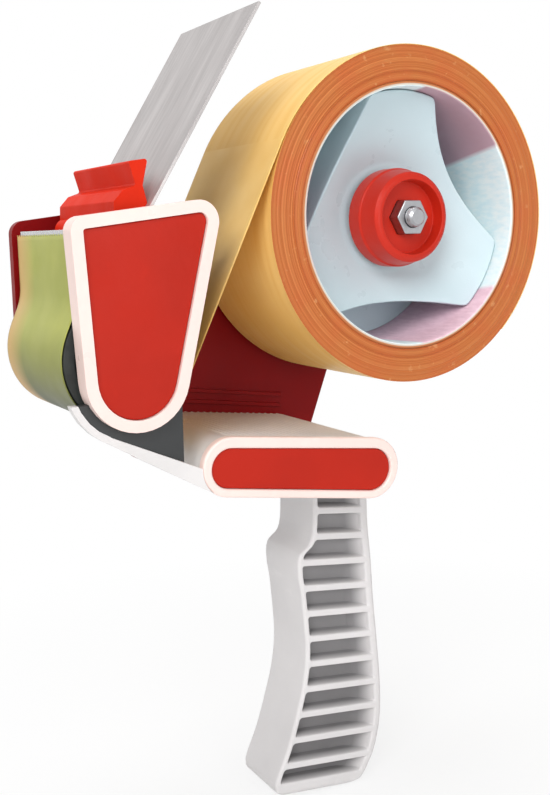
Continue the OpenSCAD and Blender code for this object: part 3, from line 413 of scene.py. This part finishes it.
# Meshes built here, in millimetres
class Shape:
    def __init__(self):
        self.points = []
        self.faces = []
        self.marks = []

    def loft(self, rings, closed=True, caps=True, mark=0):
        start, n = len(self.points), len(rings[0])
        for ring in rings:
            self.points += ring
        for i in range(len(rings) - 1):
            a, b = start + i * n, start + (i + 1) * n
            for k in range(n if closed else n - 1):
                j = (k + 1) % n
                self.faces.append((a + k, a + j, b + j, b + k))
                self.marks.append(mark)
        if caps:
            last = start + (len(rings) - 1) * n
            self.faces.append(tuple(range(start, start + n)))
            self.faces.append(tuple(range(last, last + n)))
            self.marks += [mark, mark]

    def turned(self, profile, centre, count, mark=0):
        """A ring swept round an axis along Y, from a line of radius and Y."""
        rings = []
        for i in range(count + 1):
            a = 2 * math.pi * i / count
            rings.append([(centre[0] + r * math.cos(a), y, centre[1] + r * math.sin(a)) for r, y in profile])
        self.loft(rings, closed=False, caps=False, mark=mark)

    def tube(self, path, radius, count=12):
        path = [Vector(p) for p in path]
        side = (path[1] - path[0]).orthogonal().normalized()
        rings = []
        for i, p in enumerate(path):
            ahead = (path[min(i + 1, len(path) - 1)] - path[max(i - 1, 0)]).normalized()
            side = (side - ahead * side.dot(ahead)).normalized()
            other = ahead.cross(side)
            rings.append([tuple(p + radius * (side * math.cos(a) + other * math.sin(a)))
                          for a in (2 * math.pi * k / count for k in range(count))])
        self.loft(rings)

    def object(self, name, finishes, body, stands_for=(), sharp=35):
        mesh = bpy.data.meshes.new(name)
        mesh.from_pydata([(x * MM, y * MM, z * MM) for x, y, z in self.points], [], self.faces)
        for finish in finishes:
            mesh.materials.append(finish)
        mesh.polygons.foreach_set("material_index", self.marks)
        bm = bmesh.new()
        bm.from_mesh(mesh)
        bmesh.ops.remove_doubles(bm, verts=bm.verts, dist=1e-6)
        bmesh.ops.recalc_face_normals(bm, faces=bm.faces)
        bm.to_mesh(mesh)
        bm.free()
        mesh.shade_smooth()
        mesh.set_sharp_from_angle(angle=math.radians(sharp))
        obj = bpy.data.objects.new(name, mesh)
        scene.collection.objects.link(obj)
        if body:
            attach(obj, body)
        if stands_for:
            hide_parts(*stands_for)
        return obj


def wobble(i, k=1.0):
    """A fixed value from -1 to 1 for each whole number."""
    return 2 * ((math.sin(i * 12.9898 * k) * 43758.5453) % 1.0) - 1


def smooth_line(points, steps=8):
    line = []
    last = len(points) - 1
    for i in range(last):
        p = [points[max(i - 1, 0)], points[i], points[i + 1], points[min(i + 2, last)]]
        for s in range(steps):
            t = s / steps
            line.append(tuple(0.5 * (2 * b + (c - a) * t + (2 * a - 5 * b + 4 * c - d) * t ** 2
                                     + (3 * b - a - 3 * c + d) * t ** 3) for a, b, c, d in zip(*p)))
    return line + [points[-1]]


def lookup(line, z):
    for (z1, x1), (z2, x2) in zip(line, line[1:]):
        if z2 <= z <= z1:
            return x1 + (x2 - x1) * (z - z1) / (z2 - z1)
    return line[0][1] if z > line[0][0] else line[-1][1]


# Grip: smooth front and back plates with a row of ribbed pockets between them on each side
RIB_FALL = 0.125
RIB_FROM = -12
HEEL_BACK = 4
HEEL = box_mm("handle")[0][2] + RIB_FALL * (HEEL_BACK - RIB_FROM)
HEEL_ROUND = 2.2
POCKET = 4.8
PLATE = 1.6
PALM = 3.0
RIB = 2.0
RIB_PITCH = 8.4
RIB_TOP = 37.8
POCKET_TOP = 50.6
HEEL_TOP = HEEL + 4.6
FRONT = smooth_line([(67.2, -10), (38.07, -10), (31.05, -14.86), (25.11, -15.4), (17.01, -14.28), (0, -13.1),
                     (-11.16, -14.28), (-20.86, -16.88), (-32.01, -20.53), (-42.2, -24.9), (-46.56, -24.3),
                     (-48.5, -20.42)])
BACK = smooth_line([(67.2, 11.2), (39.77, 11.54), (26.19, 12.77), (12.13, 13.69), (-1.94, 15.01),
                    (-16.01, 16.2), (-26.19, 16.4), (-33.95, 15.6), (-40.98, 13.69), (-45.01, 11.69),
                    (-49.54, 8.53), (-51.1, 3.94)])


def beam_line(side):
    """Height of the beam's flat top (side 1) or underside (side -1), as a value at X = 0 and a slope."""
    (x1, z1, r1), (x2, z2, r2) = BEAM
    d = Vector((x2 - x1, z2 - z1))
    lean = (r1 - r2) / d.length
    d.normalize()
    up = Vector((-d.y, d.x)) * side
    n = d * lean + up * math.sqrt(1 - lean * lean)
    p = Vector((x1, z1)) + n * r1
    return p.y + n.x / n.y * p.x, -n.x / n.y


def heights(low, high, step):
    count = max(2, int((high - low) / step))
    return [low + (high - low) * i / count for i in range(count + 1)]


def pockets():
    """Lower and upper end of each pocket, from the top down."""
    spans, high, low = [], POCKET_TOP, RIB_TOP + RIB_PITCH
    while low - RIB > HEEL_TOP + 1:
        spans.append((low, high))
        high, low = low - RIB, low - RIB_PITCH
    return spans + [(HEEL_TOP, high)]


def pocket_depth(ahead, behind, below, above):
    """Depth at a place, from its distances to the pocket's four sides. The floor rises towards the back."""
    corner, edge, run_out, wall = 0.9, 0.35, 6.5, 0.7
    far = min(ahead, behind, below, above)
    for end in (below, above):
        if ahead < corner and end < corner:
            far = min(far, corner - math.hypot(corner - ahead, corner - end))
    if far <= -edge:
        return 0.0
    floor_depth = POCKET * min(1.0, max(0.0, behind + edge) / run_out) ** 0.8
    lip = min(0.18, floor_depth)
    if far <= 0:
        return lip * ((far + edge) / edge) ** 2
    t = min(far / wall, 1.0)
    return lip + (floor_depth - lip) * t * t * (3 - 2 * t)


def slanted(line, z):
    """Where a level, which falls towards the back, meets a line of the grip's outline."""
    x = lookup(line, z)
    for _ in range(24):
        x = lookup(line, z - RIB_FALL * (x - RIB_FROM))
    return x


def grip_piece():
    under = beam_line(-1)
    steps = [-0.5, -0.35, -0.18, 0.0, 0.1, 0.2, 0.35, 0.5, 0.7, 1.0, 1.5, 2.2]
    back_steps = [3.2, 2.6, 2.0, 1.5, 1.1, 0.8, 0.55, 0.35, 0.2, 0.1, 0.0, -0.18, -0.35, -0.5]
    levels = {HEEL + HEEL_ROUND * (1 - math.cos(math.radians(15 * i))) for i in range(7)}
    for low, high in pockets():
        levels |= {low + v for v in steps if v < (high - low) / 2}
        levels |= {high - v for v in steps if v < (high - low) / 2}
    levels |= {POCKET_TOP + v for v in (1.0, 2.0, 3.5, 6.0)}
    spans = pockets()
    front_r, back_r = 1.0, 2.0
    arc = [math.radians(90 * i / 6) for i in range(7)]
    rings, depths = [], []
    for z in sorted(levels):
        dip = min(HEEL_ROUND, max(0.0, HEEL_ROUND - (z - HEEL)))
        inset = HEEL_ROUND - math.sqrt(HEEL_ROUND ** 2 - dip ** 2)
        x0, x1, half = slanted(FRONT, z) + inset, slanted(BACK, z) - inset, GRIP_W - inset
        near = [(x0 + front_r * (1 - math.cos(a)), half - front_r * (1 - math.sin(a))) for a in arc]
        row = [0.0] * len(arc)
        deep = x1 - x0
        places = [PLATE + v for v in steps]
        places += [PLATE + 2.2 + (deep - PALM - PLATE - 5.4) * i / 6 for i in range(1, 6)]
        places += [deep - PALM - v for v in back_steps]
        for d in places:
            deepest = max(pocket_depth(d - PLATE, deep - PALM - d, z - low, high - z) for low, high in spans)
            near.append((x0 + d, half - deepest))
            row.append(deepest)
        row += [0.0] * len(arc)
        near += [(x1 - back_r * (1 - math.sin(a)), half - back_r * (1 - math.cos(a))) for a in arc]
        ring = [(x, -y) for x, y in near] + [(x, y) for x, y in reversed(near)]
        rings.append([(x, y, min(z - RIB_FALL * (x - RIB_FROM), under[0] - 0.05 + under[1] * x))
                      for x, y in ring])
        depths.append(row + row[::-1])
    s = Shape()
    s.loft(rings)
    n = len(rings[0])
    # Faces that dip into a pocket take the pocket finish and its painted shade
    for i in range(len(rings) - 1):
        for k in range(n):
            j = (k + 1) % n
            if max(depths[i][k], depths[i][j], depths[i + 1][k], depths[i + 1][j]) > 0.0:
                s.marks[i * n + k] = 1
    return s.object("grip", [grip, pocket], "frame", ["handle"], 32)


grip_piece()


# Fine ridges across the beam's top
def beam_ridges():
    level, slope = beam_line(1)
    along = Vector((1, slope)).normalized()
    up = Vector((-along.y, along.x))
    first_x, height, root = -46.5, 0.55, 0.3
    start = Vector((first_x, level + first_x * slope))
    pitch, count, fine = 2.3, 20, 8
    line = []
    for i in range(count * fine + 1):
        wave = max(0.0, math.sin(2 * math.pi * (i / fine) - math.pi / 2) * 0.5 + 0.35)
        line.append(start + along * (pitch * i / fine) + up * (height * wave + 0.02))
    line += [start + along * (pitch * count) - up * root, start - up * root]
    s = Shape()
    near, far = box_mm("beam_bezel")[1][1] + 0.1, box_mm("side_frame")[1][1] - 5.6
    s.loft([[(p.x, y, p.y) for p in line] for y in (near, near + 0.4, far)])
    return s.object("beam_ridges", [grey], "frame")


beam_ridges()


AROUND = 144


# Wound tape, with layers that stand a little proud of each other on the sides
def wound_tape():
    inner = CORE_R + 0.02
    s = Shape()
    rise = []
    steps = 44
    for i in range(steps + 1):
        r = inner + (ROLL_R - 0.25 - inner) * i / steps
        rise.append((r, TAPE_HALF - 0.12 - 0.1 * wobble(i) if 0 < i < steps else TAPE_HALF - 0.1))
    near = [(r, -y) for r, y in rise]
    outside = [(ROLL_R - 0.07, -TAPE_HALF + 0.1)]
    for i in range(26):
        outside.append((ROLL_R - 0.05 + 0.04 * wobble(i, 1.7),
                        -TAPE_HALF + 0.3 + (2 * TAPE_HALF - 0.6) * i / 25))
    outside.append((ROLL_R - 0.07, TAPE_HALF - 0.1))
    far = list(reversed(rise))
    s.turned(near + outside[:1], ROLL, AROUND, 0)
    s.turned(outside, ROLL, AROUND, 1)
    s.turned(outside[-1:] + far, ROLL, AROUND, 0)
    s.turned([far[-1], near[0]], ROLL, AROUND, 0)
    return s.object("wound_tape", [side_film, outer_film], "hub", ["tape_winding"], 40)


wound_tape()


# Paper core with softened rims
def paper_core():
    bore, outside, half, r = CORE_R - CORE_WALL, CORE_R - 0.02, TAPE_HALF - 0.02, 0.45
    turn = [math.radians(90 * i / 4) for i in range(5)]
    quarter = [(r * (1 - math.cos(a)), r * (1 - math.sin(a))) for a in turn]
    profile = [(bore, y) for y in heights(-half + r, half - r, 4)]
    profile += [(bore + a, half - b) for a, b in quarter]
    profile += [(outside - a, half - b) for a, b in reversed(quarter)]
    profile += [(outside - a, -half + b) for a, b in quarter]
    profile += [(bore + a, -half + b) for a, b in reversed(quarter)]
    s = Shape()
    s.turned(profile + profile[:1], ROLL, AROUND)
    return s.object("paper_core", [core_paper], "hub", ["tape_core"], 40)


paper_core()


# Hub: a dished cap with three arms, its skirt, a back disc and the sleeve
def hub_cap():
    low, high = box_mm("hub")
    radius = (high[0] - low[0]) / 2
    sheet, face, flat_r, bore, sleeve, bush = 2.2, -9.4, 17.0, 8.2, 10.5, box_mm("hub_bush")[1][0] - ROLL[0]
    tip, back, flange = low[1], high[1], 12.0
    floor_y = box_mm("hub_bush")[0][1]
    waist, arm, ease, soft, count = 26.0, 24.0, 1.6, 0.9, 288
    corner = radius * math.cos(math.radians(60) - math.asin(arm / 2 / radius))
    cut_at = (radius ** 2 - waist ** 2) / 2 / (corner - waist)
    cut_r = cut_at - waist

    def outline(a, widest, extra):
        off = (a - math.radians(30) + math.pi / 3) % (2 * math.pi / 3) - math.pi / 3
        inside = max(0.0, (cut_r + extra) ** 2 - (cut_at * math.sin(off)) ** 2)
        hollow = cut_at * math.cos(off) - math.sqrt(inside)
        near = max(ease - abs(hollow - widest), 0.0) / ease
        return min(hollow, widest) - near * near * ease / 4

    def dish(r):
        return face + (tip - face) * max(0.0, r - flat_r) / (radius - flat_r)

    rings = []
    for i in range(count + 1):
        a = 2 * math.pi * i / count
        out, inner = outline(a, radius, 0.0), outline(a, radius - sheet, sheet)
        ring = [(bush, floor_y), (bore, floor_y), (bore, face + 0.4), (bore + 0.1, face + 0.12),
                (bore + 0.4, face)]
        ring += [(bore + 0.4 + (flat_r - 0.9 - bore) * k / 4, face) for k in range(1, 4)]
        ring += [(flat_r + d, dish(flat_r + d) - 0.12 * max(0.0, 1 - abs(d)))
                 for d in (-1.0, -0.5, 0.0, 0.5, 1.0)]
        ring += [(r, dish(r)) for r in (flat_r + 1 + (out - soft - flat_r - 1) * k / 8 for k in range(1, 9))]
        start, mid, end = (out - soft, dish(out - soft)), (out, dish(out)), (out, dish(out) + soft)
        for k in range(1, 7):
            t = k / 6
            ring.append(tuple((1 - t) ** 2 * p + 2 * t * (1 - t) * q + t * t * w
                              for p, q, w in zip(start, mid, end)))
        ring += [(out, dish(out) + soft + (flange - sheet - dish(out) - soft) * k / 6) for k in range(1, 7)]
        ring += [(radius, flange - sheet), (radius, flange), (inner, flange), (inner, dish(inner) + sheet)]
        ring += [(flat_r, face + sheet), (sleeve, face + sheet), (sleeve, back), (bush, back),
                 (bush, floor_y)]
        rings.append([(ROLL[0] + r * math.cos(a), y, ROLL[1] + r * math.sin(a)) for r, y in ring])
    s = Shape()
    s.loft(rings, closed=False, caps=False)
    return s.object("hub_cap", [ice], "hub", ["hub"], 40)


hub_cap()


# Free tape: the last turn on the roll, the span to the roller, and the bend up to its toothed end
def free_tape():
    gap, thick, upright, lifted = 0.3, 0.3, 15, 0.09
    span = Vector((ROLL[0] - ROLLER[0], ROLL[1] - ROLLER[1]))
    meet = math.atan2(span.y, span.x) - math.acos((ROLL_R + gap + thick + WRAP_R) / span.length)
    end, leave = Vector((-13.2, 33.2)), math.radians(172)

    def round_at(r, a):
        return r * Vector((math.cos(a), math.sin(a)))

    path = []
    for i in range(100, 0, -1):
        path.append(span + round_at(ROLL_R + lifted + (gap + thick / 2 - lifted) * max(0, 1 - i / 12),
                                    meet + math.pi - math.radians(2 * i)))
    turn_rows = len(path)
    first = span - round_at(ROLL_R + gap + thick / 2, meet)
    touch = round_at(WRAP_R + thick / 2, meet)
    path += [first + (touch - first) * i / 24 for i in range(24)]
    sweep = leave - 2 * math.pi - meet
    path += [round_at(WRAP_R + thick / 2, meet + sweep * i / 48) for i in range(49)]
    low, high = round_at(WRAP_R, leave), end - Vector((0, upright))
    pull = (high - low).length * 0.4
    knots = (low, low + pull * Vector((math.sin(leave), -math.cos(leave))), high - Vector((0, pull)), high)
    for i in range(1, 17):
        t = i / 16
        share = ((1 - t) ** 3, 3 * (1 - t) ** 2 * t, 3 * (1 - t) * t * t, t ** 3)
        slope = (3 * (1 - t) ** 2, 6 * (1 - t) * t, 3 * t * t)
        p = sum((k * w for k, w in zip(knots, share)), Vector((0, 0)))
        way = sum(((b - a) * w for a, b, w in zip(knots, knots[1:], slope)), Vector((0, 0))).normalized()
        path.append(p + thick / 2 * Vector((-way.y, way.x)))
    path += [high + Vector((-thick / 2, upright * i / 8)) for i in range(1, 9)]
    columns, tooth = 50, 0.8
    rings = []
    for i, p in enumerate(path):
        row = []
        for k in range(columns + 1):
            y = -TAPE_HALF + 0.05 + (2 * TAPE_HALF - 0.1) * k / columns
            drop = tooth if i == len(path) - 1 and k % 2 else 0.0
            row.append((ROLLER[0] + p.x, y, ROLLER[1] + p.y - drop))
        rings.append(row)
    s = Shape()
    s.loft(rings[:turn_rows + 1], closed=False, caps=False, mark=1)
    s.loft(rings[turn_rows:], closed=False, caps=False)
    obj = s.object("free_tape", [free_film, outer_film], "frame", ["tape_web"], 60)
    solid = obj.modifiers.new("film", "SOLIDIFY")
    solid.thickness = 0.14 * MM
    solid.offset = 0
    return obj


free_tape()


# Tension spring with closed ends
def tension_coil():
    low, high = box_mm("tension_spring")
    wire = 0.6
    radius = (high[0] - low[0]) / 2 - wire
    turns, closed = 7.5, 1.1
    first, last = low[1] + wire, high[1] - wire
    dead = 2 * wire + 0.05
    open_pitch = (last - first - 2 * dead * closed) / (turns - 2 * closed)
    path = []
    steps = int(turns * 28)
    for i in range(steps + 1):
        t = turns * i / steps
        if t < closed:
            y = dead * t
        elif t > turns - closed:
            y = last - first - dead * (turns - t)
        else:
            y = dead * closed + open_pitch * (t - closed)
        a = 2 * math.pi * t
        path.append((ROLL[0] + radius * math.cos(a), first + y, ROLL[1] + radius * math.sin(a)))
    s = Shape()
    s.tube(path, wire)
    obj = s.object("tension_coil", [plated], "frame", ["tension_spring"])
    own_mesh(obj)
    return obj


tension_coil()


# Torsion spring on the wiper's pin: a leg on the deck, two turns, and a leg behind the plate
def wiper_coil():
    low, high = box_mm("wiper_spring")
    wire, radius, leg, behind = 0.4, 2.0, 8.0, 4.05
    start, finish = high[1] - wire, low[1] + wire
    up = Vector((math.sin(WIPER_LEAN), 0, math.cos(WIPER_LEAN)))
    off = Vector((math.cos(WIPER_LEAN), 0, -math.sin(WIPER_LEAN)))
    pin = Vector((PIN[0], 0, PIN[1]))
    sweep = 4 * math.pi - WIPER_LEAN
    coil = []
    steps = 64
    for i in range(steps + 1):
        a = math.radians(270) + sweep * i / steps
        along = start + (finish - start) * i / steps
        coil.append(pin + Vector((radius * math.cos(a), along, radius * math.sin(a))))
    bend = coil[-1] + off * behind
    r = 1.0
    turn = [bend - off * r + up * r + r * (off * math.sin(a) - up * math.cos(a))
            for a in (math.radians(15 * i) for i in range(7))]
    path = [coil[0] - Vector((leg, 0, 0)), coil[0] - Vector((leg / 2, 0, 0))] + coil + turn
    path.append(bend + up * (leg + radius))
    s = Shape()
    s.tube(path, wire, 10)
    obj = s.object("wiper_coil", [plated], None, ["wiper_spring"])
    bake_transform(obj)
    return obj


wiper_coil()


# Screws with a cross recess, where the frame's solids have plain ones
def loose_parts(node):
    """Lowest and highest corner of each screw of a node."""
    bm = bmesh.new()
    bm.from_mesh(nodes[node].data)
    bmesh.ops.remove_doubles(bm, verts=bm.verts, dist=1e-6)
    left, boxes = set(bm.verts), []
    for first in bm.verts:
        if first not in left:
            continue
        left.remove(first)
        group, todo = [], [first]
        while todo:
            vert = todo.pop()
            group.append(vert.co / MM)
            for edge in vert.link_edges:
                other = edge.other_vert(vert)
                if other in left:
                    left.remove(other)
                    todo.append(other)
        boxes.append((Vector(min(p[i] for p in group) for i in range(3)),
                      Vector(max(p[i] for p in group) for i in range(3))))
    bm.free()
    return boxes


def cross_screws(node, name, axis, head_h, shank, both=False):
    s = Shape()
    count = 72
    for low, high in loose_parts(node):
        mid, size = (low + high) / 2, high - low
        out = Vector(axis) * (-1 if both and mid.y < 0 else 1)
        length = abs(size.dot(out))
        top, head = mid + out * length / 2, size.z / 2
        up = Vector((0, 0, 1))
        side = out.cross(up)

        def ring(depth, reach):
            points = []
            for k in range(count):
                a = 2 * math.pi * (k + 0.5) / count
                r = reach(a) if callable(reach) else reach
                points.append(tuple(top - out * depth + r * (side * math.cos(a) + up * math.sin(a))))
            return points

        def cross(scale):
            arm, half = 0.62 * head * scale, 0.17 * head * scale

            def reach(a):
                c, n = abs(math.cos(a)), abs(math.sin(a))
                return max(min(arm / c, half / n), min(half / c, arm / n))
            return reach

        recess = min(0.9, head_h * 0.6)
        s.loft([ring(length, shank * 0.5), ring(length - shank * 0.7, shank), ring(head_h, shank),
                ring(0.3, head), ring(0.12, head - 0.05), ring(0.03, head - 0.18), ring(0.0, head - 0.35),
                ring(0.0, cross(1.0)), ring(recess, cross(0.8))])
    return s.object(name, [plated], "frame", [node], 30)


cross_screws("frame_screws", "frame_cross_screws", (0, 1, 0), 1.8, 1.9)
cross_screws("bar_screws", "bar_cross_screws", (0, 1, 0), 1.4, 1.5, True)
cross_screws("blade_screws", "blade_cross_screws", (-1, 0, 0), 1.1, 1.3)


# Bolt with a cut thread and a chamfered head
def threaded_bolt():
    low, high = box_mm("axle_bolt")
    radius, head = 3.0, 5.0
    across_r = (high[0] - low[0]) / 2
    s = Shape()
    rings = []
    count = 36
    length = 12.0
    steps = 120
    for i in range(steps + 1):
        y = low[1] + length * i / steps
        fade = min(1.0, (length - length * i / steps) / 1.5)
        tip = min(1.0, 0.72 + (y - low[1]) * 0.35)
        ring = []
        for k in range(count):
            a = 2 * math.pi * k / count
            wave = abs(((y + k / count) % 1.0) * 2 - 1)
            r = min(radius - 0.32 * wave * fade, radius * tip)
            ring.append((ROLL[0] + r * math.cos(a), y, ROLL[1] + r * math.sin(a)))
        rings.append(ring)
    for y in (high[1] - head, high[1] - head / 2):
        rings.append([(ROLL[0] + radius * math.cos(2 * math.pi * k / count), y,
                       ROLL[1] + radius * math.sin(2 * math.pi * k / count)) for k in range(count)])
    s.loft(rings)
    rings = []
    base, end = high[1] - head, high[1]
    for y, grow in ((base, 0.93), (base + 0.4, 1.0), (end - 0.6, 1.0), (end, 0.9)):
        rings.append([(ROLL[0] + across_r * grow * math.cos(math.radians(60 * k)), y,
                       ROLL[1] + across_r * grow * math.sin(math.radians(60 * k))) for k in range(6)])
    s.loft(rings)
    return s.object("threaded_bolt", [plated], "frame", ["axle_bolt"], 30)


threaded_bolt()


# Pale floor, white to the camera, which keeps the shadow near the object
def floor_material():
    f = Finish("floor", 0.9)
    tree = f.tree
    out = tree.nodes["Material Output"]
    pale_floor = f.add("ShaderNodeBsdfDiffuse")
    pale_floor.inputs["Color"].default_value = (0.94, 0.94, 0.94, 1)
    white = f.add("ShaderNodeEmission")
    path = f.add("ShaderNodeLightPath").outputs
    seen = f.math("MAXIMUM", f.math("MAXIMUM", path["Is Camera Ray"], path["Is Glossy Ray"]),
                  path["Is Transmission Ray"])
    far = f.add("ShaderNodeVectorMath", operation="LENGTH")
    f.join(f.where, far.inputs[0])
    share = f.math("MULTIPLY", seen, f.span(far.outputs["Value"], 0.05, 0.25, 0.8, 1.0))
    both = f.add("ShaderNodeMixShader")
    f.join(share, both.inputs[0])
    f.join(pale_floor.outputs[0], both.inputs[1])
    f.join(white.outputs[0], both.inputs[2])
    f.join(both.outputs[0], out.inputs["Surface"])
    tree.nodes.remove(f.shader)
    return f.mat


def floor():
    mesh = bpy.data.meshes.new("floor")
    bm = bmesh.new()
    bmesh.ops.create_grid(bm, x_segments=8, y_segments=8, size=4)
    bm.to_mesh(mesh)
    bm.free()
    mesh.materials.append(floor_material())
    obj = bpy.data.objects.new("floor", mesh)
    obj.location = (0, 0, cad_box[0][2] - 0.0002)
    scene.collection.objects.link(obj)


floor()

world = bpy.data.worlds.new("studio")
scene.world = world
world.use_nodes = True
tree = world.node_tree
ambient = tree.nodes["Background"]
ambient.inputs["Color"].default_value = (1, 1, 1, 1)
ambient.inputs["Strength"].default_value = 0.26
seen_white = tree.nodes.new("ShaderNodeBackground")
seen_white.inputs["Color"].default_value = (1, 1, 1, 1)
light_path = tree.nodes.new("ShaderNodeLightPath")
either = None
for ray in ("Is Camera Ray", "Is Glossy Ray", "Is Transmission Ray"):
    if either is None:
        either = light_path.outputs[ray]
        continue
    most = tree.nodes.new("ShaderNodeMath")
    most.operation = "MAXIMUM"
    tree.links.new(either, most.inputs[0])
    tree.links.new(light_path.outputs[ray], most.inputs[1])
    either = most.outputs["Value"]
choose = tree.nodes.new("ShaderNodeMixShader")
tree.links.new(either, choose.inputs[0])
tree.links.new(ambient.outputs[0], choose.inputs[1])
tree.links.new(seen_white.outputs[0], choose.inputs[2])
tree.links.new(choose.outputs[0], tree.nodes["World Output"].inputs["Surface"])


def lamp(name, place, aim, size, watts):
    data = bpy.data.lights.new(name, "AREA")
    data.shape = "DISK"
    data.size = size
    data.energy = watts
    obj = bpy.data.objects.new(name, data)
    obj.location = place
    obj.rotation_euler = (Vector(aim) - Vector(place)).to_track_quat("-Z", "Y").to_euler()
    scene.collection.objects.link(obj)


AIM = (-0.02, 0.0, 0.08)
lamp("key", (-0.85, -0.8, 0.8), AIM, 0.8, 11.4)
lamp("fill", (0.1, -1.3, 0.35), AIM, 0.9, 5.0)
lamp("top", (0.0, 0.1, 1.4), AIM, 0.7, 8.0)

scene.view_settings.view_transform = "Standard"


# Camera at the photograph's angle
def camera():
    azimuth, elevation, roll = (math.radians(v) for v in (-29.55, 8.85, -1.15))
    target, distance = Vector((-0.0166, 0.0, 0.0802)), 0.3243
    back = Vector((math.sin(azimuth) * math.cos(elevation), -math.cos(azimuth) * math.cos(elevation),
                   math.sin(elevation)))
    right = Vector((math.cos(azimuth), math.sin(azimuth), 0))
    up = back.cross(right)
    c, s = math.cos(roll), math.sin(roll)
    right, up = c * right + s * up, c * up - s * right
    data = bpy.data.cameras.new("camera")
    data.sensor_width = 36
    data.lens = 1035 * 36 / 795
    data.clip_start = 0.01
    obj = bpy.data.objects.new("camera", data)
    turn = Matrix((right, up, back)).transposed().to_4x4()
    obj.matrix_world = Matrix.Translation(target + back * distance) @ turn
    scene.collection.objects.link(obj)
    scene.camera = obj


camera()
